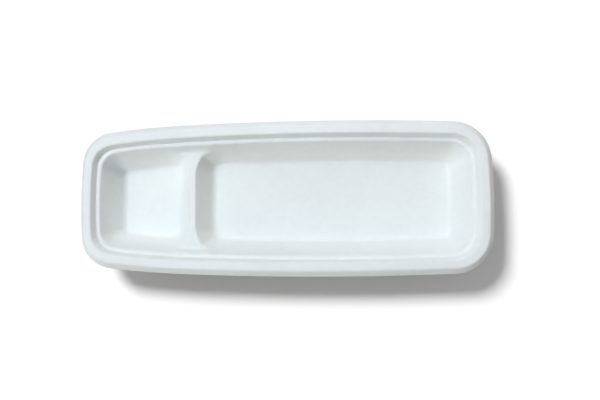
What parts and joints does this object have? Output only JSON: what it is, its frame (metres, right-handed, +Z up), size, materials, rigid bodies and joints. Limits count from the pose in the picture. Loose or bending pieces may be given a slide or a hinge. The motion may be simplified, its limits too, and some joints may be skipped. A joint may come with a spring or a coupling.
{
  "type": "food boat tray",
  "caption": "Long shallow food tray pressed from white paper pulp, with a rounded stepped rim and a low divider between a large and a small compartment.",
  "frame": {"origin": "middle of the tray's length and width, on the underside of the floor that it rests on", "axes": "+X along the length towards the wide end and the large compartment, +Y across the tray, +Z up"},
  "size_m": [0.24, 0.091, 0.0255],
  "materials": {
    "pulp": "matte"
  },
  "bodies": {
    "root": {"tray": "pulp"}
  },
  "joints": []
}
